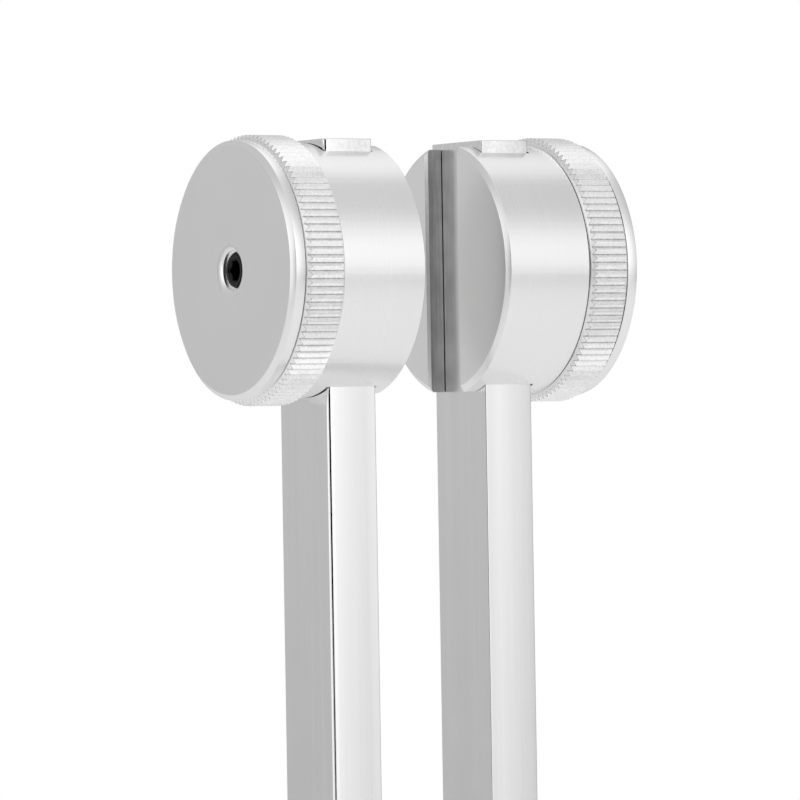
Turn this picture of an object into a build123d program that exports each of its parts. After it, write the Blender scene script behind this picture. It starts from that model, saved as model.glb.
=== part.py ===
from build123d import *
import math
import os

# Weighted tuning fork, sounding about 128 Hz, with a clamped weight on each prong tip.
# All sizes are in millimetres.
# The origin is the centre of the foot's resting face.
# +Z runs up the stem to the prong tips, +X from the left prong to the right one,
# and +Y from the front of the prongs to their back.

cut_overshoot = 1.0           # how far a cutter reaches past the faces that it cuts
thread_clearance = 0.06       # between a screw's pitch radius and its hole, both drawn plain

# ---- heights along the fork ----
foot_height = 5.0
stem_length = 81.0            # visible stem, from the top of the foot to the yoke
yoke_height = 20.0            # solid metal under the gap between the prongs
prong_length = 136.0          # from the bottom of the gap to the tips
yoke_base_z = foot_height + stem_length
gap_floor_z = yoke_base_z + yoke_height
tip_z = gap_floor_z + prong_length

# ---- prongs and yoke, one piece ----
prong_gap = 12.8              # between the prongs' inner faces
prong_thickness = 5.4         # along X
prong_depth = 10.0            # along Y
edge_bevel = 0.2
neck_width = 14.0             # width of the yoke where the stem meets it
neck_height = 3.0
neck_blend = 10.0             # hollow radius between the yoke's sides and its neck
inner_face_x = prong_gap / 2
outer_face_x = inner_face_x + prong_thickness
gap_centre_z = gap_floor_z + inner_face_x

# ---- stem, screwed into the yoke ----
grip_radius = 4.5
collar_radius = 5.0
collar_height = 3.0
flare_height = 5.0
stem_seat = 2.0               # depth of the stem's end in the foot
stem_edge = 0.4
groove_count = 3
groove_pitch = 2.0
groove_width = 0.8
groove_depth = 0.35
groove_offset = 14.0          # from each end of the visible stem to its first groove
spigot_radius = 2.7           # M6 thread, drawn plain at its pitch radius
spigot_length = 12.0
spigot_clearance = 0.05
spigot_hole_depth = 13.0
foot_screw_end_gap = 1.0      # depth of the stem's hole past the foot screw's end

# ---- foot and its screw ----
foot_radius = 8.0
foot_edge = 1.2
foot_seat_clearance = 0.1
foot_screw_head_radius = 3.6
foot_screw_head_height = 2.0
foot_screw_sink = 0.4
foot_screw_radius = 1.77      # M4 thread, drawn plain at its pitch radius
foot_screw_length = 8.5
foot_screw_play = 0.4
foot_screw_socket = 2.5       # across the flats of the hexagon
foot_screw_socket_depth = 1.4

# ---- clamp weights ----
weight_drop = 13.0            # from the prong tips down to the weights' axis
weight_inner_x = 4.6          # the face towards the other weight
weight_outer_x = 20.0
barrel_radius = 12.75
barrel_end_x = 14.1
inner_chamfer_radial = 0.57
inner_chamfer_axial = 0.37
collar_start_x = 18.6         # smooth rim outside the knurl
rim_radius = 12.95
rim_end_x = 19.63
outer_plane_radius = 12.38
relief_width = 0.12           # fine grooves that end the knurl
relief_depth = 0.08

# ---- straight knurl of 0.8 mm pitch around each weight ----
knurl_teeth = 106
knurl_pitch = 0.8
knurl_radius = knurl_teeth * knurl_pitch / (2 * math.pi)
knurl_depth = 0.38
knurl_crest_share = 0.12      # flat part of one tooth's pitch
knurl_end_radial = 0.45
knurl_end_axial = 0.5

# ---- T-slot of each weight ----
slot_side_clearance = 0.1     # on each side of the prong's depth
slot_inner_clearance = 0.02   # where the prong is pressed against the lips
slot_outer_clearance = 0.2
window_width = 6.1            # the slot's open side, between its two lips
window_deburr = 0.15

# ---- M4 set screw and its pad ----
screw_radius = 1.77           # pitch radius of the thread, drawn plain
screw_hole_radius = screw_radius + thread_clearance
screw_length = 6.0
screw_recess = 0.45           # from the weight's outer face in to the screw's end
screw_chamfer = 0.3
screw_socket = 2.0            # across the flats of the hexagon
screw_socket_depth = 2.4
screw_socket_lead = 0.25
screw_socket_sink = 90        # included angle of the socket's lead-in, in degrees
countersink_radius = 2.6
countersink_angle = 120       # included angle, in degrees
pad_radius = 1.5
pad_thickness = weight_outer_x - screw_recess - screw_length - outer_face_x
pad_edge = 0.2

weight_z = tip_z - weight_drop


def box_between(low, high):
    """Box from its lowest corner to its highest."""
    size = [b - a for a, b in zip(low, high)]
    middle = [(a + b) / 2 for a, b in zip(low, high)]
    return Pos(*middle) * Box(*size)


def turned(points, plane, axis):
    """Solid turned from a closed outline of (along, radius) points."""
    outline = plane * make_face(Polyline(*points, close=True))
    return revolve(outline, axis=axis)


def turned_about_x(points):
    return turned(points, Plane.XY, Axis.X)


def turned_about_z(points):
    """The points are (radius, height)."""
    return turned(points, Plane.XZ, Axis.Z)


def cylinder_x(radius, start_x, end_x):
    """Cylinder along X between two stations."""
    disc = Plane(origin=(start_x, 0, 0), z_dir=(1, 0, 0)) * Circle(radius)
    return extrude(disc, end_x - start_x)


def hexagon_x(across_flats, start_x, end_x):
    """Hexagonal prism along X between two stations."""
    corner_radius = across_flats / math.sqrt(3)
    hexagon = Plane(origin=(start_x, 0, 0), z_dir=(1, 0, 0)) * RegularPolygon(corner_radius, 6)
    return extrude(hexagon, end_x - start_x)


def cone_sink_x(mouth_radius, mouth_x, included_angle):
    """Cutter for a countersink that opens towards +X."""
    slope = math.tan(math.radians(included_angle / 2))
    points = [
        (mouth_x - mouth_radius / slope, 0),
        (mouth_x + cut_overshoot, mouth_radius + cut_overshoot * slope),
        (mouth_x + cut_overshoot, 0),
    ]
    return turned_about_x(points)


def fork_outline():
    """Both prongs and the yoke, drawn in X and Z."""
    half_neck = neck_width / 2
    neck_top_z = yoke_base_z + neck_height
    right_side = [
        Line((half_neck, yoke_base_z), (half_neck, neck_top_z)),
        TangentArc((outer_face_x, gap_centre_z), (half_neck, neck_top_z), tangent=(0, -1)),
        Line((outer_face_x, gap_centre_z), (outer_face_x, tip_z)),
        Line((outer_face_x, tip_z), (inner_face_x, tip_z)),
        Line((inner_face_x, tip_z), (inner_face_x, gap_centre_z)),
    ]
    left_side = [mirror(edge, about=Plane.YZ) for edge in right_side]
    gap_floor = ThreePointArc(
        (inner_face_x, gap_centre_z), (0, gap_floor_z), (-inner_face_x, gap_centre_z)
    )
    base = Line((-half_neck, yoke_base_z), (half_neck, yoke_base_z))
    outline = make_face([*right_side, *left_side, gap_floor, base])
    nearby = (neck_top_z - edge_bevel, neck_top_z + edge_bevel)
    neck_corners = outline.vertices().filter_by_position(Axis.Y, *nearby)
    return fillet(neck_corners, neck_blend)


def make_fork_body():
    """Prongs and yoke cut from one bar, with a threaded hole for the stem."""
    body = extrude(Plane.XZ * fork_outline(), prong_depth / 2, both=True)
    by_depth = body.faces().sort_by(Axis.Y)
    rims = by_depth[0].edges() + by_depth[-1].edges()
    cross_edges = body.edges().filter_by(Axis.Y)
    tip_edges = cross_edges.filter_by_position(Axis.Z, tip_z - edge_bevel, tip_z + edge_bevel)
    body = chamfer(rims + tip_edges, edge_bevel)
    hole_radius = spigot_radius + spigot_clearance
    hole_points = [
        (0, yoke_base_z - cut_overshoot),
        (hole_radius, yoke_base_z - cut_overshoot),
        (hole_radius, yoke_base_z + spigot_hole_depth),
        (0, yoke_base_z + spigot_hole_depth + hole_radius / 2),
    ]
    return body - turned_about_z(hole_points)


def grip_grooves(first_z, step):
    """Ring-shaped cutters for one group of grip grooves."""
    inner = grip_radius - groove_depth
    outer = grip_radius + cut_overshoot
    rings = []
    for number in range(groove_count):
        middle = first_z + number * step
        low, high = middle - groove_width / 2, middle + groove_width / 2
        rings.append(turned_about_z([(inner, low), (outer, low), (outer, high), (inner, high)]))
    return rings


def make_stem():
    """Turned stem with a collar at each end and a threaded spigot on top."""
    low_z = foot_height - stem_seat
    top_z = yoke_base_z
    lower_collar_z = foot_height + collar_height
    upper_collar_z = top_z - collar_height
    points = [
        (0, low_z),
        (grip_radius - stem_edge, low_z),
        (grip_radius, low_z + stem_edge),
        (grip_radius, foot_height),
        (collar_radius, foot_height),
        (collar_radius, lower_collar_z),
        (grip_radius, lower_collar_z + flare_height),
        (grip_radius, upper_collar_z - flare_height),
        (collar_radius, upper_collar_z),
        (collar_radius, top_z),
        (spigot_radius, top_z),
        (spigot_radius, top_z + spigot_length - stem_edge),
        (spigot_radius - stem_edge, top_z + spigot_length),
        (0, top_z + spigot_length),
    ]
    stem = turned_about_z(points)
    grooves = grip_grooves(foot_height + groove_offset, groove_pitch)
    grooves += grip_grooves(top_z - groove_offset, -groove_pitch)
    for groove in grooves:
        stem -= groove
    hole_radius = foot_screw_radius + thread_clearance
    screw_end_z = foot_screw_sink + foot_screw_head_height + foot_screw_length
    hole_top_z = screw_end_z + foot_screw_end_gap
    hole = [(0, 0), (hole_radius, 0), (hole_radius, hole_top_z), (0, hole_top_z + hole_radius / 2)]
    return stem - turned_about_z(hole)


def make_foot():
    """Round foot with a seat for the stem and a countersunk screw hole."""
    seat_radius = grip_radius + foot_seat_clearance
    seat_z = foot_height - stem_seat
    hole_radius = foot_screw_radius + foot_screw_play
    head_radius = foot_screw_head_radius + foot_seat_clearance
    sink_top_z = foot_screw_sink + head_radius - hole_radius
    half_edge = foot_edge * (1 - math.sqrt(0.5))
    sides = [
        Line((head_radius, 0), (foot_radius - foot_edge, 0)),
        ThreePointArc(
            (foot_radius - foot_edge, 0),
            (foot_radius - half_edge, half_edge),
            (foot_radius, foot_edge),
        ),
        Line((foot_radius, foot_edge), (foot_radius, foot_height - foot_edge)),
        ThreePointArc(
            (foot_radius, foot_height - foot_edge),
            (foot_radius - half_edge, foot_height - half_edge),
            (foot_radius - foot_edge, foot_height),
        ),
        Polyline(
            (foot_radius - foot_edge, foot_height),
            (seat_radius, foot_height),
            (seat_radius, seat_z),
            (hole_radius, seat_z),
            (hole_radius, sink_top_z),
            (head_radius, foot_screw_sink),
            (head_radius, 0),
        ),
    ]
    return revolve(Plane.XZ * make_face(sides), axis=Axis.Z)


def make_foot_screw():
    """Countersunk hexagon-socket screw that holds the foot on the stem."""
    head_z = foot_screw_sink
    cone_top_z = head_z + foot_screw_head_radius - foot_screw_radius
    end_z = head_z + foot_screw_head_height + foot_screw_length
    points = [
        (0, head_z),
        (foot_screw_head_radius, head_z),
        (foot_screw_radius, cone_top_z),
        (foot_screw_radius, end_z - screw_chamfer),
        (foot_screw_radius - screw_chamfer, end_z),
        (0, end_z),
    ]
    socket = Pos(0, 0, head_z) * RegularPolygon(foot_screw_socket / math.sqrt(3), 6)
    return turned_about_z(points) - extrude(socket, foot_screw_socket_depth)


def knurl_outline():
    """Closed ring of straight teeth, each with a narrow flat crest."""
    pitch_angle = 2 * math.pi / knurl_teeth
    half_crest = pitch_angle * knurl_crest_share / 2
    valley_radius = knurl_radius - knurl_depth
    points = []
    for tooth in range(knurl_teeth):
        middle = tooth * pitch_angle
        corners = [
            (knurl_radius, middle - half_crest),
            (knurl_radius, middle + half_crest),
            (valley_radius, middle + pitch_angle / 2),
        ]
        points += [(r * math.cos(angle), r * math.sin(angle)) for r, angle in corners]
    return make_face(Polyline(*points, close=True))


def make_knurl_band():
    """Disc with a knurled edge, chamfered at both ends of the knurl."""
    low_x = barrel_end_x + relief_width
    high_x = collar_start_x - relief_width
    teeth = extrude(Plane(origin=(low_x, 0, 0), x_dir=(0, 1, 0), z_dir=(1, 0, 0)) * knurl_outline(),
                    high_x - low_x)
    end_radius = knurl_radius - knurl_end_radial
    full_radius = knurl_radius + cut_overshoot
    full_axial = knurl_end_axial * (full_radius - end_radius) / knurl_end_radial
    envelope = turned_about_x([
        (low_x, 0),
        (low_x, end_radius),
        (low_x + full_axial, full_radius),
        (high_x - full_axial, full_radius),
        (high_x, end_radius),
        (high_x, 0),
    ])
    return teeth & envelope


def make_weight_blank():
    """Turned weight about the X axis, before its slot is cut."""
    relief_radius = barrel_radius - relief_depth
    points = [
        (weight_inner_x, 0),
        (weight_inner_x, barrel_radius - inner_chamfer_radial),
        (weight_inner_x + inner_chamfer_axial, barrel_radius),
        (barrel_end_x, barrel_radius),
        (barrel_end_x, relief_radius),
        (collar_start_x, relief_radius),
        (collar_start_x, rim_radius),
        (rim_end_x, rim_radius),
        (weight_outer_x, outer_plane_radius),
        (weight_outer_x, 0),
    ]
    return turned_about_x(points) + make_knurl_band()


def slot_cutter():
    """T-slot that runs the weight's full height: a prong space and a window."""
    reach = knurl_radius + cut_overshoot
    space_low_x = inner_face_x - slot_inner_clearance
    space_high_x = outer_face_x + slot_outer_clearance
    half_depth = prong_depth / 2 + slot_side_clearance
    half_window = window_width / 2
    prong_space = box_between(
        (space_low_x, -half_depth, -reach), (space_high_x, half_depth, reach)
    )
    window = box_between(
        (weight_inner_x - cut_overshoot, -half_window, -reach), (outer_face_x, half_window, reach)
    )
    wide = half_window + window_deburr
    mouth = Polyline(
        (weight_inner_x - window_deburr, -wide - window_deburr),
        (weight_inner_x + window_deburr, -half_window),
        (weight_inner_x + window_deburr, half_window),
        (weight_inner_x - window_deburr, wide + window_deburr),
        close=True,
    )
    deburr = extrude(make_face(mouth), reach, both=True)
    return prong_space + window + deburr


def make_right_weight():
    """Weight on the right prong: turned, knurled, slotted and drilled."""
    weight = make_weight_blank() - slot_cutter()
    weight -= cylinder_x(screw_hole_radius, outer_face_x, weight_outer_x + cut_overshoot)
    weight -= cone_sink_x(countersink_radius, weight_outer_x, countersink_angle)
    return Pos(0, 0, weight_z) * weight


def make_right_clamp_pad():
    """Small disc between the screw's end and the prong."""
    low_x = outer_face_x
    high_x = low_x + pad_thickness
    points = [
        (low_x, 0),
        (low_x, pad_radius - pad_edge),
        (low_x + pad_edge, pad_radius),
        (high_x - pad_edge, pad_radius),
        (high_x, pad_radius - pad_edge),
        (high_x, 0),
    ]
    return Pos(0, 0, weight_z) * turned_about_x(points)


def make_right_clamp_screw():
    """Set screw with a hexagon socket in its outer end."""
    low_x = outer_face_x + pad_thickness
    high_x = low_x + screw_length
    points = [
        (low_x, 0),
        (low_x, screw_radius - screw_chamfer),
        (low_x + screw_chamfer, screw_radius),
        (high_x - screw_chamfer, screw_radius),
        (high_x, screw_radius - screw_chamfer),
        (high_x, 0),
    ]
    screw = turned_about_x(points)
    screw -= hexagon_x(screw_socket, high_x - screw_socket_depth, high_x + cut_overshoot)
    lead_radius = screw_socket / math.sqrt(3) + screw_socket_lead / 2
    screw -= cone_sink_x(lead_radius, high_x, screw_socket_sink)
    return Pos(0, 0, weight_z) * screw


def main():
    nodes = {
        "fork_body": make_fork_body(),
        "stem": make_stem(),
        "foot": make_foot(),
        "foot_screw": make_foot_screw(),
    }
    right_pieces = {
        "weight": make_right_weight(),
        "clamp_pad": make_right_clamp_pad(),
        "clamp_screw": make_right_clamp_screw(),
    }
    for name, piece in right_pieces.items():
        nodes["right_" + name] = piece
        nodes["left_" + name] = mirror(piece, about=Plane.YZ)
    os.makedirs("parts", exist_ok=True)
    for name, solid in nodes.items():
        export_step(solid, f"parts/{name}.step")


main()
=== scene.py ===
import math

import bmesh
import bpy
from mathutils import Matrix, Quaternion, Vector


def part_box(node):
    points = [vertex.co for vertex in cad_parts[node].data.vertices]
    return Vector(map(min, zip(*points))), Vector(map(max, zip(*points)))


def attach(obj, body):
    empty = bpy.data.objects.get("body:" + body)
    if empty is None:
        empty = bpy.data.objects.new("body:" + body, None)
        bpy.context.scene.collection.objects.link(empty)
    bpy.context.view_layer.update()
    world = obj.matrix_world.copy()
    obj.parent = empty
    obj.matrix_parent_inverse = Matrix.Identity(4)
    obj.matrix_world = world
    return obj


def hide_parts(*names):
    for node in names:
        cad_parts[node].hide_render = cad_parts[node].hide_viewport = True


# Weighted tuning fork: every shown piece is built here, in metres, in the row's frame.
# +Z runs up the stem, +X from the left prong to the right one, and -Y is the front.
# A piece of the left side is its right-hand twin mirrored, apart from its screw threads.

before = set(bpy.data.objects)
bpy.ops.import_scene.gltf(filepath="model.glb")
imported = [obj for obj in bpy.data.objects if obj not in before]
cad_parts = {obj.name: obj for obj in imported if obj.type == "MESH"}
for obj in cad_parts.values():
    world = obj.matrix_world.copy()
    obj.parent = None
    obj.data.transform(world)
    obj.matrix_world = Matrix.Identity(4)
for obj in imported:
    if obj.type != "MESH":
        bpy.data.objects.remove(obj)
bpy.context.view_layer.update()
MM = 0.001

# ---- places that come from the frame ----
fork_low, fork_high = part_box("fork_body")
weight_low, weight_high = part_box("right_weight")
stem_low, stem_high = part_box("stem")
foot_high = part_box("foot")[1]
foot_screw_low, foot_screw_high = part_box("foot_screw")
screw_low, screw_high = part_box("right_clamp_screw")
pad_low, pad_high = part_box("right_clamp_pad")
YOKE_Z = fork_low.z
TIP_Z = fork_high.z
WEIGHT_Z = (screw_low.z + screw_high.z) / 2
PRONG_OUTER_X = fork_high.x
PRONG_HALF_DEPTH = fork_high.y
PRONG_THICKNESS = 5.4 * MM
PRONG_INNER_X = PRONG_OUTER_X - PRONG_THICKNESS

# ---- fork body ----
YOKE_HEIGHT = 20.0 * MM
EDGE_ROUND = 0.12 * MM
EDGE_ROUND_SEGMENTS = 4
FRONT_EDGE = (                          # inset from the side and from the front, in mm
    (0, 0.47), (0.04, 0.33), (0.15, 0.16), (0.285, 0.03), (0.45, 0),
)
CROWN = 0.065 * MM                      # how far the front and back fall away at their edges
CROWN_STEPS = 3                         # columns of points on each side of a prong's middle
NECK_HALF_WIDTH = 7.0 * MM
NECK_TOP_Z = YOKE_Z + 3.0 * MM
NECK_BLEND = 10.0 * MM
GAP_CENTRE_Z = YOKE_Z + YOKE_HEIGHT + PRONG_INNER_X
SPIGOT_HOLE = (2.75 * MM, 13.0 * MM)    # radius and depth
ARC_STEP = math.radians(3)

# ---- weights, as distances along X and radii about the weight's axis ----
BARREL_RADIUS = 12.75 * MM
BARREL_END_X = 14.1 * MM
INNER_CHAMFER = (0.37 * MM, 0.57 * MM)  # along the axis and across it
COLLAR_START_X = 18.6 * MM
RIM_RADIUS = 12.95 * MM
RIM_END_X = 19.63 * MM
FACE_RADIUS = 12.38 * MM
RELIEF_WIDTH = 0.09 * MM                # of the groove on each side of the knurl
BARREL_RELIEF_DEPTH = 0.24 * MM
RIM_RELIEF_DEPTH = 0.3 * MM
TURNED_ROUND = 0.06 * MM
KNURL_TEETH = 106
KNURL_RADIUS = weight_high.y
KNURL_DEPTH = 0.42 * MM
KNURL_CREST = 0.12                      # share of a tooth's pitch
KNURL_END = (0.42 * MM, 0.62 * MM)      # chamfer along the axis and across it
KNURL_END_TILT = 0.3                    # a face of the band that faces X by more is an end face

# ---- slot, screw hole and set screw ----
SLOT_CLEARANCE = (0.07 * MM, 0.2 * MM, 0.06 * MM)    # inside, outside and each side of the prong
WINDOW_HALF_WIDTH = 3.05 * MM
WINDOW_DEBURR = (0.2 * MM, 0.4 * MM)    # along X and across
CUT_PAST = 1.0 * MM                     # how far a cutter reaches past the faces that it cuts
TOUCHING = 0.01 * MM                    # what is nearer than this counts as touching
THREAD_PITCH = 0.7 * MM
THREAD_MIDDLE = 1.78 * MM
THREAD_WAVE = 0.19 * MM
THREAD_CLEARANCE = 0.04 * MM
THREAD_COLUMNS = 48
THREAD_ROWS_A_PITCH = 14
COUNTERSINK_RADIUS = 2.65 * MM
COUNTERSINK_SLOPE = math.tan(math.radians(63))
HOLE_MOUTH = (2.03 * MM, 0.4 * MM)      # radius and length of the plain part under the countersink
CONE_TIP = 0.01 * MM                    # radius that stands for a cone's point
SOCKET_FLATS = 2.0 * MM
SOCKET_DEPTH = 2.4 * MM
SOCKET_LEAD = 0.125 * MM
PAD_EDGE = 0.2 * MM

# ---- points in a ring ----
LARGE_RING, MIDDLE_RING, SMALL_RING, LEAD_RING, HEXAGON = 96, 64, 48, 24, 6


# ---- mesh helpers ----
def link_piece(name, build):
    """Object with the mesh held by a bmesh, which is freed."""
    build.normal_update()
    mesh = bpy.data.meshes.new(name)
    build.to_mesh(mesh)
    build.free()
    piece = bpy.data.objects.new(name, mesh)
    bpy.context.scene.collection.objects.link(piece)
    return piece


def skin_rings(rings):
    """Closed solid through rings of points. The first and last rings get flat ends."""
    build = bmesh.new()
    made = [[build.verts.new(point) for point in ring] for ring in rings]
    count = len(made[0])
    for low, high in zip(made, made[1:]):
        for number in range(count):
            after = (number + 1) % count
            build.faces.new((low[number], low[after], high[after], high[number]))
    build.faces.new(reversed(made[0]))
    build.faces.new(made[-1])
    bmesh.ops.recalc_face_normals(build, faces=build.faces)
    return build


def soften(corners, steps=4):
    """Outline of (along, radius) points with a small arc at each corner that has a rounding."""
    outline = []
    last = len(corners) - 1
    for number, (along, radius, rounding) in enumerate(corners):
        here = Vector((along, radius))
        if rounding == 0 or number in (0, last):
            outline.append(here)
            continue
        before = (Vector(corners[number - 1][:2]) - here).normalized()
        after = (Vector(corners[number + 1][:2]) - here).normalized()
        half_angle = before.angle(after) / 2
        reach = rounding / math.tan(half_angle)
        centre = here + (before + after).normalized() * (rounding / math.sin(half_angle))
        start, end = here + before * reach - centre, here + after * reach - centre
        turn = start.angle_signed(end)
        for step in range(steps + 1):
            angle = -turn * step / steps
            outline.append(centre + Matrix.Rotation(angle, 2) @ start)
    return outline


def ring_about_x(along, radii):
    """Ring of points about the weights' axis, one for each radius."""
    count = len(radii)
    points = []
    for number, radius in enumerate(radii):
        angle = 2 * math.pi * number / count
        points.append((along, radius * math.cos(angle), WEIGHT_Z + radius * math.sin(angle)))
    return points


def ring_about_z(along, radius, count):
    angles = [2 * math.pi * number / count for number in range(count)]
    return [(radius * math.cos(angle), radius * math.sin(angle), along) for angle in angles]


def apply_modifiers(piece):
    """The piece's mesh as its modifiers leave it, with the modifiers gone."""
    graph = bpy.context.evaluated_depsgraph_get()
    graph.update()
    mesh = bpy.data.meshes.new_from_object(piece.evaluated_get(graph), depsgraph=graph)
    old = piece.data
    piece.modifiers.clear()
    piece.data = mesh
    bpy.data.meshes.remove(old)


def cut(piece, cutter):
    """Takes the cutter's solid out of the piece. The cut faces keep the cutter's material."""
    modifier = piece.modifiers.new("cut", "BOOLEAN")
    modifier.operation = "DIFFERENCE"
    modifier.solver = "EXACT"
    modifier.material_mode = "TRANSFER"
    modifier.object = cutter
    apply_modifiers(piece)
    bpy.data.objects.remove(cutter)


def mirrored(piece):
    """Turns a right-hand piece into a left-hand one."""
    piece.data.transform(Matrix.Scale(-1, 4, (1, 0, 0)))
    piece.data.flip_normals()


def shade(piece, sharp_degrees=40):
    """Smooth shading that keeps real corners and lets the large faces lead."""
    for face in piece.data.polygons:
        face.use_smooth = True
    piece.data.set_sharp_from_angle(angle=math.radians(sharp_degrees))
    modifier = piece.modifiers.new("face weights", "WEIGHTED_NORMAL")
    modifier.keep_sharp = True
    modifier.weight = 100
    apply_modifiers(piece)


def show(piece, node, body):
    """The piece stands for its CAD node and moves with the node's body."""
    shade(piece)
    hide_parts(node)
    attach(piece, body)


# ---- materials ----
class Surface:
    """A metal or plastic, and the nodes that its marks are made with."""

    def __init__(self, name, colour, metallic, roughness):
        self.material = bpy.data.materials.new(name)
        self.material.use_nodes = True
        self.tree = self.material.node_tree
        self.shader = self.tree.nodes["Principled BSDF"]
        self.shader.inputs["Base Color"].default_value = (*colour, 1)
        self.shader.inputs["Metallic"].default_value = metallic
        self.shader.inputs["Roughness"].default_value = roughness
        self.colour = colour
        self.roughness = roughness

    def add(self, kind, **inputs):
        node = self.tree.nodes.new(kind)
        for key, value in inputs.items():
            self.feed(node.inputs[key.replace("_", " ")], value)
        return node

    def feed(self, socket, value):
        if isinstance(value, bpy.types.NodeSocket):
            self.tree.links.new(value, socket)
        else:
            socket.default_value = value

    def math(self, operation, first, second):
        node = self.tree.nodes.new("ShaderNodeMath")
        node.operation = operation
        self.feed(node.inputs[0], first)
        self.feed(node.inputs[1], second)
        return node.outputs[0]

    def vector(self, operation, first, second=(0, 0, 0)):
        node = self.tree.nodes.new("ShaderNodeVectorMath")
        node.operation = operation
        self.feed(node.inputs[0], first)
        self.feed(node.inputs[1], second)
        return node.outputs["Value" if operation in ("LENGTH", "DOT_PRODUCT") else "Vector"]

    def place(self):
        return self.tree.nodes.new("ShaderNodeTexCoord").outputs["Object"]

    def turned_place(self, axis_point, across, spacing, arc):
        """Place for marks left by turning: fast along the axis and the radius, slow around them."""
        from_axis = self.vector("SUBTRACT", self.place(), axis_point)
        sideways = self.vector("MULTIPLY", from_axis, across)
        radius = self.vector("LENGTH", sideways)
        along_axis = tuple(1 - part for part in across)
        along = self.vector("DOT_PRODUCT", from_axis, along_axis)
        joined = self.add("ShaderNodeCombineXYZ", X=along, Y=radius).outputs[0]
        fine = self.vector("MULTIPLY", joined, (1 / spacing, 1 / spacing, 0))
        slow = self.vector("MULTIPLY", sideways, (1 / arc, 1 / arc, 1 / arc))
        return self.vector("ADD", fine, slow)

    def ground_place(self, spacing, run):
        """Place for grinding marks that run along Z."""
        return self.vector("MULTIPLY", self.place(), (1 / spacing, 1 / spacing, 1 / run))

    def noise(self, place, scale=1.0, detail=2.0):
        node = self.add("ShaderNodeTexNoise", Vector=place, Scale=scale, Detail=detail)
        return node.outputs["Fac"]

    def spread(self, value, low, high):
        """The noise's middle half stretched to run from low to high."""
        node = self.add("ShaderNodeMapRange", Value=value)
        bounds = {"From Min": 0.25, "From Max": 0.75, "To Min": low, "To Max": high}
        for key, bound in bounds.items():
            node.inputs[key].default_value = bound
        return node.outputs[0]

    def tint(self, factor):
        """Colour times a grey factor, kept low enough that no part of the colour passes 1."""
        scaled = self.add("ShaderNodeVectorMath")
        scaled.operation = "SCALE"
        scaled.inputs[0].default_value = self.colour
        self.feed(scaled.inputs["Scale"], self.math("MINIMUM", factor, 1 / max(self.colour)))
        self.tree.links.new(scaled.outputs["Vector"], self.shader.inputs["Base Color"])

    def gloss(self, change):
        """Roughness plus a change that differs over the surface."""
        self.tree.links.new(
            self.math("ADD", change, self.roughness), self.shader.inputs["Roughness"]
        )

    def relief(self, height, depth):
        bump = self.add("ShaderNodeBump", Height=height, Distance=depth, Strength=1.0)
        self.tree.links.new(bump.outputs["Normal"], self.shader.inputs["Normal"])


ALUMINIUM = (0.908, 0.907, 0.906)
ABOUT_X = (0, 1, 1)
ABOUT_Z = (1, 1, 0)
WEIGHT_AXIS = (0, 0, WEIGHT_Z)

# ---- noise scales, in cycles over a metre: the larger the finer ----
CLOUD, HANDLING, RUBBING, PATCHES = 110, 180, 600, 900
STEEL_GRAIN, TIP_SPECKS, METAL_GRAIN = 2500, 2600, 5000

TIP_WEAR = (2.5 * MM, 1.0 * MM)         # below the tip: where the wear begins and where it is full
# painted shade: how much darker the knurl's valley bottoms are coloured
VALLEY_PAINTED_SHADE = -0.36
# painted shade: a dark line just inside each tooth's outline on the knurl's chamfered ends
TOOTH_LINE = (0.02 * MM, 0.09 * MM)     # inside a tooth's outline: full at one, gone at the other
TOOTH_LINE_PAINTED_SHADE = -0.65


def turned_metal(name, roughness, line_depth, axis_point=WEIGHT_AXIS, across=ABOUT_X,
                 contrast=0.02, tone=1.0):
    """Aluminium with the fine rings that a lathe tool leaves."""
    surface = Surface(name, ALUMINIUM, 1.0, roughness)
    fine = surface.noise(surface.turned_place(axis_point, across, 0.1 * MM, 400 * MM), detail=1)
    broad = surface.noise(surface.turned_place(axis_point, across, 0.5 * MM, 600 * MM), detail=2)
    cloud = surface.noise(surface.place(), scale=CLOUD, detail=3)
    lines = surface.math("ADD", surface.spread(fine, -contrast, contrast),
                         surface.spread(broad, -contrast / 3, contrast / 3))
    surface.tint(surface.math("ADD", lines, surface.spread(cloud, tone - 0.01, tone + 0.01)))
    surface.gloss(surface.math("ADD", surface.spread(cloud, -0.01, 0.02),
                               surface.spread(fine, -0.02, 0.02)))
    surface.relief(fine, line_depth)
    return surface.material


def ground_metal(name, roughness, line_depth, contrast=0.015):
    """Aluminium bar with fine grinding marks along it."""
    surface = Surface(name, ALUMINIUM, 1.0, roughness)
    fine = surface.noise(surface.ground_place(0.12 * MM, 25 * MM), detail=2)
    broad = surface.noise(surface.ground_place(1.2 * MM, 60 * MM), detail=2)
    cloud = surface.noise(surface.place(), scale=CLOUD, detail=3)
    lines = surface.math("ADD", surface.spread(fine, -contrast, contrast),
                         surface.spread(broad, -contrast, contrast))
    base = surface.math("ADD", lines, surface.spread(cloud, 0.985, 1.0))
    height = surface.add("ShaderNodeSeparateXYZ", Vector=surface.place()).outputs["Z"]
    near_tip = surface.add("ShaderNodeMapRange", Value=height)
    near_tip.inputs["From Min"].default_value = TIP_Z - TIP_WEAR[0]
    near_tip.inputs["From Max"].default_value = TIP_Z - TIP_WEAR[1]
    specks = surface.noise(surface.place(), scale=TIP_SPECKS, detail=2)
    wear = surface.math("MULTIPLY", near_tip.outputs[0], surface.spread(specks, -0.09, 0.07))
    surface.tint(surface.math("ADD", base, wear))
    surface.gloss(surface.math("ADD", surface.spread(cloud, -0.01, 0.03),
                               surface.spread(fine, -0.01, 0.01)))
    surface.relief(fine, line_depth)
    return surface.material


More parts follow.
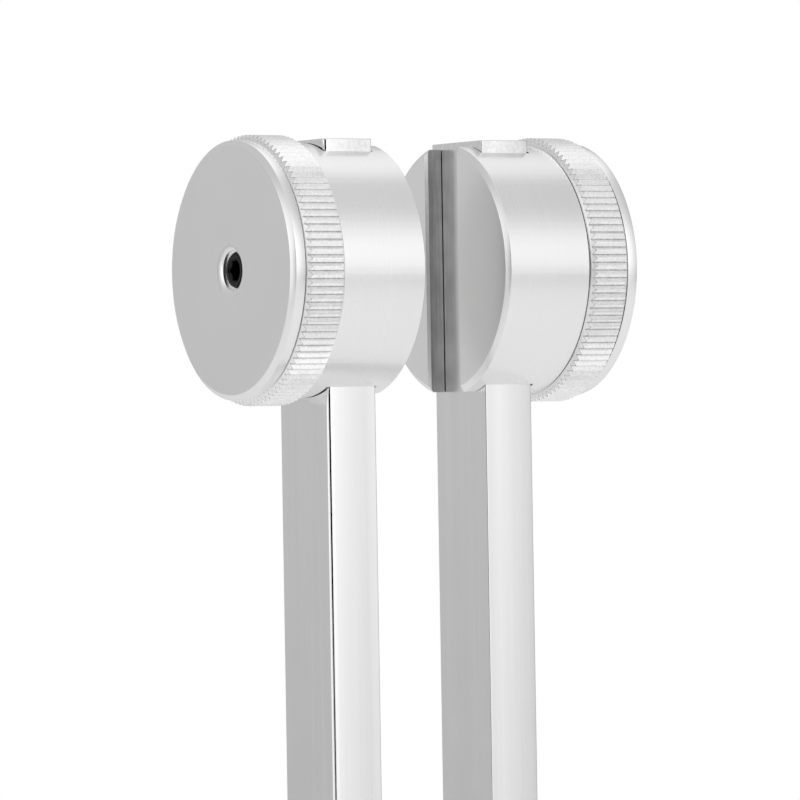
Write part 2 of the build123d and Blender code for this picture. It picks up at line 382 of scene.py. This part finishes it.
def knurled_metal(name, roughness, tone):
    """Aluminium pressed by the knurling wheel, with painted shade as dark lines at the bottoms of
    the valleys.
    """
    surface = Surface(name, ALUMINIUM, 1.0, roughness)
    sideways = surface.vector("MULTIPLY", surface.vector("SUBTRACT", surface.place(), WEIGHT_AXIS),
                              ABOUT_X)
    # painted shade: the colour darkens towards the bottoms of the knurl's valleys
    height = surface.add("ShaderNodeMapRange", Value=surface.vector("LENGTH", sideways))
    height.interpolation_type = "SMOOTHSTEP"
    height.inputs["From Min"].default_value = KNURL_RADIUS - KNURL_DEPTH
    height.inputs["From Max"].default_value = KNURL_RADIUS - 0.75 * KNURL_DEPTH
    height.inputs["To Min"].default_value = VALLEY_PAINTED_SHADE
    height.inputs["To Max"].default_value = 0
    grain = surface.noise(surface.place(), scale=METAL_GRAIN, detail=2)
    patches = surface.noise(surface.place(), scale=PATCHES, detail=2)
    marks = surface.math("ADD", surface.spread(grain, tone - 0.11, tone + 0.09),
                         surface.spread(patches, -0.04, 0.04))
    surface.tint(surface.math("ADD", height.outputs[0], marks))
    surface.gloss(surface.spread(patches, -0.04, 0.06))
    return surface.material


def knurl_end_metal(name, roughness, tone):
    """The knurl's chamfered ends: made bright by a painted highlight in their tone, with painted
    shade as a dark line where each tooth's outline runs.
    """
    surface = Surface(name, ALUMINIUM, 1.0, roughness)
    from_axis = surface.vector("SUBTRACT", surface.place(), WEIGHT_AXIS)
    parts = surface.add("ShaderNodeSeparateXYZ", Vector=from_axis).outputs
    teeth = surface.math("MULTIPLY", surface.math("ARCTAN2", parts["Z"], parts["Y"]),
                         KNURL_TEETH / (2 * math.pi))
    from_valley = surface.math("PINGPONG", surface.math("ADD", teeth, 0.5), 0.5)
    climb = surface.math("MULTIPLY", from_valley, KNURL_DEPTH / ((1 - KNURL_CREST) / 2))
    tooth = surface.math("ADD", surface.math("MINIMUM", climb, KNURL_DEPTH),
                         KNURL_RADIUS - KNURL_DEPTH)
    radius = surface.vector("LENGTH", surface.vector("MULTIPLY", from_axis, ABOUT_X))
    # painted shade: darker just inside each tooth's outline
    inside = surface.add("ShaderNodeMapRange", Value=surface.math("SUBTRACT", tooth, radius))
    inside.inputs["From Min"].default_value = TOOTH_LINE[0]
    inside.inputs["From Max"].default_value = TOOTH_LINE[1]
    inside.inputs["To Min"].default_value = TOOTH_LINE_PAINTED_SHADE
    inside.inputs["To Max"].default_value = 0
    grain = surface.noise(surface.place(), scale=METAL_GRAIN, detail=2)
    surface.tint(surface.math("ADD", inside.outputs[0],
                              surface.spread(grain, tone - 0.08, tone + 0.08)))
    return surface.material


def milled_metal(name, darkest, lightest):
    """Dull aluminium wall of a slot or hole, with the cutter's marks along its travel, coloured
    between darkest and lightest as painted shade.
    """
    surface = Surface(name, ALUMINIUM, 1.0, 0.34)
    fine = surface.noise(surface.ground_place(0.25 * MM, 6 * MM), detail=3)
    smears = surface.noise(surface.ground_place(1.5 * MM, 3 * MM), detail=3)
    # painted shade: the wall's colour is held far below aluminium's, between darkest and lightest
    surface.tint(surface.math("ADD", surface.spread(fine, darkest, lightest),
                              surface.spread(smears, -darkest / 4, darkest / 4)))
    surface.gloss(surface.spread(fine, -0.04, 0.08))
    surface.relief(fine, 0.006 * MM)
    return surface.material


def black_steel():
    """Black oxide on steel, slightly rubbed."""
    surface = Surface("black oxide steel", (0.02, 0.02, 0.022), 1.0, 0.34)
    grain = surface.noise(surface.place(), scale=STEEL_GRAIN, detail=4)
    rubbed = surface.noise(surface.place(), scale=RUBBING, detail=2)
    surface.tint(surface.math("ADD", surface.spread(grain, 0.8, 1.2),
                              surface.spread(rubbed, -0.3, 0.6)))
    surface.gloss(surface.spread(rubbed, -0.06, 0.08))
    surface.relief(grain, 0.003 * MM)
    return surface.material


def black_plastic():
    """Turned black acetal: faint rings and a soft sheen."""
    surface = Surface("black acetal", (0.02, 0.02, 0.021), 0.0, 0.38)
    rings = surface.noise(surface.turned_place((0, 0, 0), ABOUT_Z, 0.14 * MM, 12 * MM), detail=2)
    handled = surface.noise(surface.place(), scale=HANDLING, detail=3)
    surface.tint(surface.math("ADD", surface.spread(rings, 0.85, 1.15),
                              surface.spread(handled, -0.1, 0.2)))
    surface.gloss(surface.math("ADD", surface.spread(rings, -0.03, 0.03),
                               surface.spread(handled, -0.05, 0.08)))
    surface.relief(rings, 0.006 * MM)
    return surface.material


def turned_brass():
    """Bright brass with turning rings and a little tarnish."""
    surface = Surface("turned brass", (0.82, 0.62, 0.32), 1.0, 0.24)
    rings = surface.noise(surface.turned_place(WEIGHT_AXIS, ABOUT_X, 0.1 * MM, 3 * MM), detail=2)
    tarnish = surface.noise(surface.place(), scale=PATCHES, detail=3)
    surface.tint(surface.math("ADD", surface.spread(rings, -0.03, 0.03),
                              surface.spread(tarnish, 0.8, 1.0)))
    surface.gloss(surface.spread(tarnish, 0.08, -0.02))
    surface.relief(rings, 0.003 * MM)
    return surface.material


# ---- weights ----
BARREL, KNURL, KNURL_ENDS, OUTER_FACE, INNER_FACE = range(5)    # their order in blank_metals


def knurl_radii(limit):
    """Radius of each column of a ring: three to a tooth, a valley and the crest's two sides."""
    low, high = min(limit, KNURL_RADIUS - KNURL_DEPTH), min(limit, KNURL_RADIUS)
    return [low, high, high] * KNURL_TEETH


def knurl_ring(along, limit):
    """Ring of the knurl: its columns aren't evenly spaced, because crests are narrow."""
    points = []
    pitch = 2 * math.pi / KNURL_TEETH
    flank = (1 - KNURL_CREST) / 2
    radii = knurl_radii(limit)
    for number, radius in enumerate(radii):
        share = (0, flank, flank + KNURL_CREST)[number % 3]
        angle = pitch * (number // 3 - 0.5 + share)
        points.append((along, radius * math.cos(angle), WEIGHT_Z + radius * math.sin(angle)))
    return points


def weight_blank(name, metals):
    """The turned and knurled weight before its slot and hole are cut."""
    inner_x, outer_x = weight_low.x, weight_high.x
    barrel_groove = BARREL_RADIUS - BARREL_RELIEF_DEPTH
    rim_groove = RIM_RADIUS - RIM_RELIEF_DEPTH
    band_start, band_end = BARREL_END_X + RELIEF_WIDTH, COLLAR_START_X - RELIEF_WIDTH
    end_radius = KNURL_RADIUS - KNURL_END[1]
    valley_x = KNURL_END[0] * (KNURL_END[1] - KNURL_DEPTH) / KNURL_END[1]
    inner_side = soften([
        (inner_x, 0, 0),
        (inner_x, BARREL_RADIUS - INNER_CHAMFER[1], TURNED_ROUND),
        (inner_x + INNER_CHAMFER[0], BARREL_RADIUS, TURNED_ROUND),
        (BARREL_END_X, BARREL_RADIUS, TURNED_ROUND / 3),
        (BARREL_END_X, barrel_groove, 0),
        (band_start, barrel_groove, 0),
        (band_start, end_radius, 0),
    ])
    band = [
        (band_start + valley_x, KNURL_RADIUS - KNURL_DEPTH),
        (band_start + KNURL_END[0], KNURL_RADIUS),
        (band_end - KNURL_END[0], KNURL_RADIUS),
        (band_end - valley_x, KNURL_RADIUS - KNURL_DEPTH),
    ]
    outer_side = soften([
        (band_end, end_radius, 0),
        (band_end, rim_groove, 0),
        (COLLAR_START_X, rim_groove, 0),
        (COLLAR_START_X, RIM_RADIUS, TURNED_ROUND / 3),
        (RIM_END_X, RIM_RADIUS, TURNED_ROUND),
        (outer_x, FACE_RADIUS, TURNED_ROUND),
        (outer_x, 0, 0),
    ])
    outline = [*inner_side[1:], *map(Vector, band), *outer_side[:-1]]
    build = skin_rings([knurl_ring(along, radius) for along, radius in outline])
    split_knurl_ends(build, band_start + valley_x, band_start + KNURL_END[0])
    split_knurl_ends(build, band_end - KNURL_END[0], band_end - valley_x)
    for face in build.faces:
        middle = face.calc_center_median().x
        if band_start + TOUCHING < middle < band_end - TOUCHING:
            face.material_index = KNURL
            # faces that face X take the knurl-end metal, whose lighter tone is a painted highlight
            if abs(face.normal.x) > KNURL_END_TILT:
                face.material_index = KNURL_ENDS
        elif middle > outer_x - TOUCHING:
            face.material_index = OUTER_FACE
        elif middle < inner_x + TOUCHING:
            face.material_index = INNER_FACE
    piece = link_piece(name, build)
    for metal in metals:
        piece.data.materials.append(metal)
    return piece


def split_knurl_ends(build, start_x, end_x):
    """Divides each flank's end along the line where the knurl's chamfer meets the flank."""
    def radius(corner):
        return (corner.co.yz - Vector((0, WEIGHT_Z))).length

    for face in list(build.faces):
        along = [corner.co.x for corner in face.verts]
        far = abs(min(along) - start_x) > TOUCHING or abs(max(along) - end_x) > TOUCHING
        if len(along) != 4 or far:
            continue
        *_, second, crest = sorted(face.verts, key=radius)
        if radius(crest) - radius(second) < TOUCHING:
            continue
        opposite = next(
            corner for corner in face.verts
            if corner is not crest and not any(crest in edge.verts for edge in corner.link_edges)
        )
        bmesh.ops.connect_verts(build, verts=[crest, opposite])


def thread_radius(along, angle, hand):
    """Radius of a rounded screw thread at one place on its helix."""
    phase = 2 * math.pi * along / THREAD_PITCH - hand * angle
    return THREAD_MIDDLE + THREAD_WAVE * math.cos(phase)


def threaded_rings(start_x, end_x, hand, growth, limits=lambda along: math.inf):
    """Rings of a threaded rod along X. limits gives the largest radius at a station."""
    count = round((end_x - start_x) / THREAD_PITCH * THREAD_ROWS_A_PITCH)
    rings = []
    for row in range(count + 1):
        along = start_x + (end_x - start_x) * row / count
        limit = limits(along)
        radii = []
        for column in range(THREAD_COLUMNS):
            angle = 2 * math.pi * column / THREAD_COLUMNS
            radii.append(min(thread_radius(along, angle, hand) + growth, limit))
        rings.append(ring_about_x(along, radii))
    return rings


def slot_cutter(wall, mouth):
    """T-slot: the prong's space and the window between the lips, whose back edge is deburred."""
    inside, outside, side = SLOT_CLEARANCE
    reach = KNURL_RADIUS + CUT_PAST
    low_x, high_x = PRONG_INNER_X - inside, PRONG_OUTER_X + outside
    half_depth = PRONG_HALF_DEPTH + side
    mouth_x = weight_low.x
    deburr_x, deburr_y = WINDOW_DEBURR
    outline = [
        (mouth_x - deburr_x, WINDOW_HALF_WIDTH + 2 * deburr_y),
        (mouth_x + deburr_x, WINDOW_HALF_WIDTH),
        (low_x, WINDOW_HALF_WIDTH),
        (low_x, half_depth),
        (high_x, half_depth),
    ]
    outline += [(x, -y) for x, y in reversed(outline[1:])]
    outline.append((mouth_x - deburr_x, -WINDOW_HALF_WIDTH))
    rings = [[(x, y, WEIGHT_Z + side_z) for x, y in outline] for side_z in (-reach, reach)]
    cutter = link_piece("slot cutter", skin_rings(rings))
    for metal in (wall, mouth):
        cutter.data.materials.append(metal)
    for polygon in cutter.data.polygons:
        polygon.material_index = 1 if polygon.center.x < mouth_x + deburr_x else 0
    return cutter


def make_weight(side, hand, blank_metals, milled, tapped):
    """Turned weight with its T-slot, threaded hole and countersink."""
    weight = weight_blank(f"{side}_clamp_weight", blank_metals)
    cut(weight, slot_cutter(milled, blank_metals[OUTER_FACE]))
    outer_x = weight_high.x
    mouth_radius, mouth_length = HOLE_MOUTH
    mouth_x = outer_x - (COUNTERSINK_RADIUS - mouth_radius) / COUNTERSINK_SLOPE
    rings = threaded_rings(PRONG_OUTER_X, mouth_x - TOUCHING, hand, THREAD_CLEARANCE)
    drill = link_piece("hole cutter", skin_rings(rings))
    drill.data.materials.append(tapped)
    cut(weight, drill)
    sink_outline = [
        (mouth_x - mouth_length, mouth_radius),
        (mouth_x, mouth_radius),
        (outer_x + CUT_PAST, COUNTERSINK_RADIUS + CUT_PAST * COUNTERSINK_SLOPE),
    ]
    sink = link_piece("countersink cutter", skin_rings(
        [ring_about_x(along, [radius] * 2 * THREAD_COLUMNS) for along, radius in sink_outline]
    ))
    sink.data.materials.append(blank_metals[BARREL])
    cut(weight, sink)
    return weight


def make_clamp_screw(side, hand, material):
    """Set screw with a thread that matches its hole's, and a hexagon socket."""
    radius = THREAD_MIDDLE + THREAD_WAVE
    bevel = 2 * THREAD_WAVE

    def limits(along):
        return radius - max(0, bevel - (along - screw_low.x), bevel - (screw_high.x - along))

    rings = threaded_rings(screw_low.x, screw_high.x, hand, 0, limits)
    screw = link_piece(f"{side}_set_screw", skin_rings(rings))
    screw.data.materials.append(material)
    corner_radius = SOCKET_FLATS / math.sqrt(3)
    floor_x = screw_high.x - SOCKET_DEPTH
    depths = [
        (floor_x - corner_radius / 2, CONE_TIP),
        (floor_x, corner_radius),
        (screw_high.x + CUT_PAST, corner_radius),
    ]
    socket = link_piece("socket cutter", skin_rings(
        [ring_about_x(x, [r] * HEXAGON) for x, r in depths]
    ))
    socket.data.materials.append(material)
    cut(screw, socket)
    lead_radius = corner_radius + SOCKET_LEAD
    lead = [
        (screw_high.x - lead_radius, CONE_TIP),
        (screw_high.x + CUT_PAST, lead_radius + CUT_PAST),
    ]
    cone = link_piece("lead cutter", skin_rings(
        [ring_about_x(x, [r] * LEAD_RING) for x, r in lead]
    ))
    cone.data.materials.append(material)
    cut(screw, cone)
    return screw


def make_clamp_pad(side, material):
    """Brass disc with rounded edges, between the set screw and the prong."""
    outline = soften([
        (pad_low.x, 0, 0),
        (pad_low.x, pad_high.y, PAD_EDGE),
        (pad_high.x, pad_high.y, PAD_EDGE),
        (pad_high.x, 0, 0),
    ])
    rings = [ring_about_x(along, [radius] * THREAD_COLUMNS) for along, radius in outline[1:-1]]
    pad = link_piece(f"{side}_brass_pad", skin_rings(rings))
    pad.data.materials.append(material)
    return pad


# ---- fork body, stem and foot ----
def arc_points(centre, radius, start, end):
    """Points along an arc in X and Z, from one angle to another."""
    steps = max(2, math.ceil(abs(end - start) / ARC_STEP))
    angles = [start + (end - start) * step / steps for step in range(steps + 1)]
    return [centre + radius * Vector((math.cos(angle), math.sin(angle))) for angle in angles]


def fork_outline():
    """Right half of the outline from the base's middle to the gap's floor, then its mirror."""
    rise = GAP_CENTRE_Z - NECK_TOP_Z
    narrowing = PRONG_OUTER_X - NECK_HALF_WIDTH
    side_radius = (rise * rise + narrowing * narrowing) / (2 * narrowing)
    side_centre = Vector((PRONG_OUTER_X - side_radius, GAP_CENTRE_Z))
    blend_x = NECK_HALF_WIDTH + NECK_BLEND
    centre_distance = side_radius + NECK_BLEND
    drop = math.sqrt(centre_distance ** 2 - (blend_x - side_centre.x) ** 2)
    blend_centre = Vector((blend_x, GAP_CENTRE_Z - drop))
    meeting = math.atan2(-drop, blend_x - side_centre.x)
    half = [
        Vector((NECK_HALF_WIDTH, YOKE_Z)),
        *arc_points(blend_centre, NECK_BLEND, math.pi, meeting + math.pi),
        *arc_points(side_centre, side_radius, meeting, 0)[1:],
        Vector((PRONG_OUTER_X, TIP_Z)),
        Vector((PRONG_INNER_X, TIP_Z)),
        *arc_points(Vector((0, GAP_CENTRE_Z)), PRONG_INNER_X, 0, -math.pi / 2),
    ]
    return half + [Vector((-point.x, point.y)) for point in reversed(half[:-1])]


def crown_faces(build):
    """Lets the front and back faces fall away slightly towards their prongs' edges."""
    middle_x = (PRONG_INNER_X + PRONG_OUTER_X) / 2
    half_width = (PRONG_OUTER_X - PRONG_INNER_X) / 2
    for step in range(-CROWN_STEPS, CROWN_STEPS + 1):
        for sign in (-1, 1):
            plane_x = sign * (middle_x + half_width * step / (CROWN_STEPS + 1))
            bmesh.ops.bisect_plane(
                build, geom=[*build.verts, *build.edges, *build.faces], dist=TOUCHING / 10,
                plane_co=(plane_x, 0, 0), plane_no=(1, 0, 0),
            )
    for corner in build.verts:
        if abs(corner.co.y) > PRONG_HALF_DEPTH - EDGE_ROUND - TOUCHING:
            off_centre = max(-1, (abs(corner.co.x) - middle_x) / half_width)
            corner.co.y -= math.copysign(CROWN * off_centre * off_centre, corner.co.y)


def shape_front_edge(build):
    """Widens the rounding of the left prong's front outer edge and gives its middle a flat."""
    last = len(FRONT_EDGE) - 1
    low_y = PRONG_HALF_DEPTH - CROWN - EDGE_ROUND
    for corner in build.verts:
        if not GAP_CENTRE_Z - TOUCHING < corner.co.z < TIP_Z - EDGE_ROUND + TOUCHING:
            continue
        over_x = -corner.co.x - (PRONG_OUTER_X - EDGE_ROUND)
        over_y = -corner.co.y - low_y
        on_edge = abs(math.hypot(over_x, over_y) - EDGE_ROUND) < TOUCHING
        if not on_edge or min(over_x, over_y) < -TOUCHING:
            continue
        step = round(math.degrees(math.atan2(over_y, over_x)) / 90 * last)
        side_inset, front_inset = FRONT_EDGE[max(0, min(last, step))]
        corner.co.x = side_inset * MM - PRONG_OUTER_X
        corner.co.y = front_inset * MM + CROWN - PRONG_HALF_DEPTH


def make_fork_body(material):
    """Prongs and yoke, with every sharp edge slightly rounded and the stem's hole drilled."""
    outline = fork_outline()
    rings = [[(x, y, z) for x, z in outline] for y in (-PRONG_HALF_DEPTH, PRONG_HALF_DEPTH)]
    build = skin_rings(rings)
    sharp = [edge for edge in build.edges if edge.calc_face_angle() > math.radians(30)]
    bmesh.ops.bevel(
        build, geom=sharp, offset=EDGE_ROUND, offset_type="OFFSET", profile=0.5,
        segments=EDGE_ROUND_SEGMENTS, affect="EDGES", clamp_overlap=False,
    )
    crown_faces(build)
    shape_front_edge(build)
    body = link_piece("prongs_and_yoke", build)
    body.data.materials.append(material)
    hole_radius, hole_depth = SPIGOT_HOLE
    stations = [
        (YOKE_Z - CUT_PAST, hole_radius),
        (YOKE_Z + hole_depth, hole_radius),
        (YOKE_Z + hole_depth + hole_radius / 2, CONE_TIP),
    ]
    hole = link_piece("spigot hole", skin_rings(
        [ring_about_z(z, r, MIDDLE_RING) for z, r in stations]
    ))
    hole.data.materials.append(material)
    cut(body, hole)
    return body


def make_stem(material):
    """Turned handle: collars that flare into the grip, and three grip grooves at each end."""
    grip, collar, spigot = 4.5 * MM, stem_high.x, 2.7 * MM
    collar_height, flare = 3.0 * MM, 5.0 * MM
    foot_z, top_z = foot_high.z, YOKE_Z
    groove_pitch, groove_half, groove_depth = 2.0 * MM, 0.4 * MM, 0.35 * MM
    groove_edge, groove_corner = 0.08 * MM, 0.12 * MM
    groove_count, first_groove = 3, 14.0 * MM
    collar_edge, end_edge = 0.15 * MM, 0.4 * MM
    hole_radius = 1.83 * MM

    def flared(start, end, start_radius, end_radius):
        steps = 12
        points = []
        for step in range(1, steps):
            share = step / steps
            ease = (1 - math.cos(math.pi * share)) / 2
            along = start + (end - start) * share
            points.append((along, start_radius + (end_radius - start_radius) * ease, 0))
        return points

    def grooves(middles):
        points = []
        for middle in middles:
            points += [
                (middle - groove_half, grip, groove_edge),
                (middle - groove_half, grip - groove_depth, groove_corner),
                (middle + groove_half, grip - groove_depth, groove_corner),
                (middle + groove_half, grip, groove_edge),
            ]
        return points

    low_group = [foot_z + first_groove + number * groove_pitch for number in range(groove_count)]
    high_group = [foot_z + top_z - middle for middle in reversed(low_group)]
    corners = [
        (stem_low.z, 0, 0),
        (stem_low.z, grip, end_edge),
        (foot_z, grip, 0),
        (foot_z, collar, collar_edge),
        (foot_z + collar_height, collar, 0),
        *flared(foot_z + collar_height, foot_z + collar_height + flare, collar, grip),
        (foot_z + collar_height + flare, grip, 0),
        *grooves(low_group + high_group),
        (top_z - collar_height - flare, grip, 0),
        *flared(top_z - collar_height - flare, top_z - collar_height, grip, collar),
        (top_z - collar_height, collar, 0),
        (top_z, collar, collar_edge),
        (top_z, spigot, 0),
        (stem_high.z, spigot, end_edge),
        (stem_high.z, 0, 0),
    ]
    outline = soften(corners)[1:-1]
    stem = link_piece("turned_stem", skin_rings(
        [ring_about_z(z, r, LARGE_RING) for z, r in outline]
    ))
    stem.data.materials.append(material)
    stations = [
        (-CUT_PAST, hole_radius),
        (foot_screw_high.z + CUT_PAST, hole_radius),
        (foot_screw_high.z + CUT_PAST + hole_radius / 2, CONE_TIP),
    ]
    hole = link_piece("stem hole", skin_rings(
        [ring_about_z(z, r, SMALL_RING) for z, r in stations]
    ))
    hole.data.materials.append(material)
    cut(stem, hole)
    return stem


def revolve_ring(name, corners, count):
    """Solid ring turned about Z from a closed outline of (height, radius, rounding) corners."""
    wrapped = [corners[-1], *corners, corners[0]]
    outline = soften(wrapped)[1:-1]
    build = bmesh.new()
    rings = [[build.verts.new(point) for point in ring_about_z(z, r, count)] for z, r in outline]
    for low, high in zip(rings, [*rings[1:], rings[0]]):
        for number in range(count):
            after = (number + 1) % count
            build.faces.new((low[number], low[after], high[after], high[number]))
    bmesh.ops.recalc_face_normals(build, faces=build.faces)
    return link_piece(name, build)


def make_foot(material):
    """Round foot: a seat above for the stem, and a countersunk hole below for its screw."""
    edge, mouth_edge = 1.2 * MM, 0.08 * MM
    seat, seat_depth = 4.6 * MM, 2.0 * MM
    seat_z = foot_high.z - seat_depth
    head, hole = 3.7 * MM, 2.17 * MM    # radii of the countersink and of the hole
    sink = 0.4 * MM                     # how far above the resting face the screw's head sits
    foot = revolve_ring("round_foot", [
        (0, head, mouth_edge),
        (0, foot_high.x, edge),
        (foot_high.z, foot_high.x, edge),
        (foot_high.z, seat, mouth_edge),
        (seat_z, seat, 0),
        (seat_z, hole, 0),
        (sink + head - hole, hole, 0),
        (sink, head, 0),
    ], LARGE_RING)
    foot.data.materials.append(material)
    return foot


def make_foot_screw(material):
    """Countersunk screw with a hexagon socket."""
    head, shank = foot_screw_high.x, 1.77 * MM
    head_edge, end_bevel = 0.06 * MM, 0.3 * MM
    socket_flats, socket_depth = 2.5 * MM, 1.4 * MM
    low_z, high_z = foot_screw_low.z, foot_screw_high.z
    corners = [
        (low_z, 0, 0),
        (low_z, head, head_edge),
        (low_z + head - shank, shank, 0),
        (high_z - end_bevel, shank, 0),
        (high_z, shank - end_bevel, 0),
        (high_z, 0, 0),
    ]
    outline = soften(corners)[1:-1]
    screw = link_piece("foot_fixing_screw", skin_rings(
        [ring_about_z(z, r, SMALL_RING) for z, r in outline]
    ))
    screw.data.materials.append(material)
    corner_radius = socket_flats / math.sqrt(3)
    stations = [(low_z - CUT_PAST, corner_radius), (low_z + socket_depth, corner_radius)]
    socket = link_piece("foot screw socket", skin_rings(
        [ring_about_z(z, r, HEXAGON) for z, r in stations]
    ))
    socket.data.materials.append(material)
    cut(screw, socket)
    return screw


# ---- pieces ----
prong_metal = ground_metal("ground aluminium", 0.19, 0.0012 * MM)
stem_metal = turned_metal("turned stem", 0.24, 0.002 * MM, (0, 0, 0), ABOUT_Z)
blank_metals = (
    turned_metal("turned barrel", 0.25, 0.0015 * MM, contrast=0.012, tone=1.03),
    knurled_metal("knurled aluminium", 0.24, 1.05),
    # the knurl's end faces get a lighter tone than the knurl itself: a painted highlight
    knurl_end_metal("knurl ends with painted highlight", 0.3, 1.08),
    turned_metal("faced outer end", 0.3, 0.0008 * MM, contrast=0.008),
    turned_metal("faced inner end", 0.2, 0.0006 * MM, contrast=0.006, tone=1.08),
)
# the slot's walls and the threaded hole's wall are coloured dark as painted shade for these
# recesses
slot_metal_painted_shade = milled_metal("milled aluminium in painted shade", 0.3, 0.46)
tapped_metal_painted_shade = milled_metal("tapped hole in painted shade", 0.1, 0.2)
screw_steel = black_steel()
pad_brass = turned_brass()

show(make_fork_body(prong_metal), "fork_body", "fork")
show(make_stem(stem_metal), "stem", "fork")
show(make_foot(black_plastic()), "foot", "fork")
show(make_foot_screw(screw_steel), "foot_screw", "fork")
for side, hand in (("right", 1), ("left", -1)):
    weight = make_weight(side, hand, blank_metals, slot_metal_painted_shade, tapped_metal_painted_shade)
    screw = make_clamp_screw(side, hand, screw_steel)
    pad = make_clamp_pad(side, pad_brass)
    if side == "left":
        for piece in (weight, screw, pad):
            mirrored(piece)
    show(weight, f"{side}_weight", f"{side}_weight")
    show(screw, f"{side}_clamp_screw", f"{side}_screw")
    show(pad, f"{side}_clamp_pad", f"{side}_pad")


# ---- camera: level, turned to the fork's left front, and slightly rolled ----
CAMERA_AZIMUTH = math.radians(-30.09)
CAMERA_RISE = math.radians(-0.037)
CAMERA_ROLL = math.radians(-0.945)
CAMERA_DISTANCE = 544.0 * MM
LENS = 242.05
aim = Vector((-0.549 * MM, 0.318 * MM, WEIGHT_Z - 13.114 * MM))
back = Vector((
    math.sin(CAMERA_AZIMUTH) * math.cos(CAMERA_RISE),
    -math.cos(CAMERA_AZIMUTH) * math.cos(CAMERA_RISE),
    math.sin(CAMERA_RISE),
))
camera = bpy.data.objects.new("camera", bpy.data.cameras.new("camera"))
camera.data.lens = LENS
camera.data.clip_start = 0.05
camera.data.clip_end = 50
camera.rotation_mode = "QUATERNION"
camera.location = aim + back * CAMERA_DISTANCE
camera.rotation_quaternion = back.to_track_quat("Z", "Y") @ Quaternion((0, 0, 1), CAMERA_ROLL)
bpy.context.scene.collection.objects.link(camera)
bpy.context.scene.camera = camera


# ---- studio: a pale room with soft panels, and a dark flag beside the camera ----
FLOOR_RADIUS = 1.5
LAMP_WIDTH, LAMP_WATTS = 1.0, 2.6
LAMP_PLACE = (0.05, -0.35, 1.0)


def towards(azimuth, elevation):
    """Direction at an azimuth, counted from the front towards +X, and a height, in degrees."""
    turn, rise = math.radians(azimuth), math.radians(elevation)
    level = math.cos(rise)
    return Vector((math.sin(turn) * level, -math.cos(turn) * level, math.sin(rise)))


def make_room():
    """World that lights the fork with soft panels and shows the camera plain white."""
    world = bpy.data.worlds.new("studio")
    bpy.context.scene.world = world
    world.use_nodes = True
    tree = world.node_tree
    tree.nodes.clear()
    direction = tree.nodes.new("ShaderNodeTexCoord").outputs["Generated"]
    room_light = 0.56
    panels = (    # azimuth, elevation, outer and inner angle of the fade, strength
        (-2, 2, 61, 2, 0.62),
        (30, -45, 46, 30, -0.31),
        (90, 0, 66, 50, -0.17),
        (157, 61, 38, 6, 0.48),
        (-3, 59, 67, 40, 0.15),
        (-98, 0, 38, 14, 0.6),
        (-60, 0, 26, 14, -0.8),
        (0, -90, 91, 80, -0.18),
    )
    total = None
    for azimuth, elevation, outer, inner, strength in panels:
        facing = tree.nodes.new("ShaderNodeVectorMath")
        facing.operation = "DOT_PRODUCT"
        tree.links.new(direction, facing.inputs[0])
        facing.inputs[1].default_value = towards(azimuth, elevation)
        fade = tree.nodes.new("ShaderNodeMapRange")
        fade.interpolation_type = "SMOOTHSTEP"
        tree.links.new(facing.outputs["Value"], fade.inputs["Value"])
        fade.inputs["From Min"].default_value = math.cos(math.radians(outer))
        fade.inputs["From Max"].default_value = math.cos(math.radians(inner))
        fade.inputs["To Max"].default_value = strength
        join = tree.nodes.new("ShaderNodeMath")
        join.inputs[1].default_value = room_light
        tree.links.new(fade.outputs["Result"], join.inputs[0])
        if total is not None:
            tree.links.new(total, join.inputs[1])
        total = join.outputs[0]
    lit = tree.nodes.new("ShaderNodeBackground")
    tree.links.new(total, lit.inputs["Color"])
    seen = tree.nodes.new("ShaderNodeBackground")
    seen.inputs["Color"].default_value = (1, 1, 1, 1)
    choice = tree.nodes.new("ShaderNodeMixShader")
    tree.links.new(tree.nodes.new("ShaderNodeLightPath").outputs["Is Camera Ray"], choice.inputs[0])
    tree.links.new(lit.outputs[0], choice.inputs[1])
    tree.links.new(seen.outputs[0], choice.inputs[2])
    output = tree.nodes.new("ShaderNodeOutputWorld")
    tree.links.new(choice.outputs[0], output.inputs["Surface"])


def make_floor():
    """Pale round floor, and the soft lamp above it that it is lit by."""
    build = bmesh.new()
    bmesh.ops.create_circle(build, cap_ends=True, segments=LARGE_RING, radius=FLOOR_RADIUS)
    floor = link_piece("floor", build)
    surface = Surface("floor", (0.86, 0.86, 0.86), 0.0, 0.7)
    floor.data.materials.append(surface.material)
    lamp = bpy.data.objects.new("overhead lamp", bpy.data.lights.new("overhead lamp", "AREA"))
    lamp.data.shape = "DISK"
    lamp.data.size = LAMP_WIDTH
    lamp.data.energy = LAMP_WATTS
    lamp.location = LAMP_PLACE
    lamp.visible_camera = False
    lamp.visible_glossy = False
    bpy.context.scene.collection.objects.link(lamp)


make_room()
make_floor()
bpy.context.scene.view_settings.view_transform = "Standard"
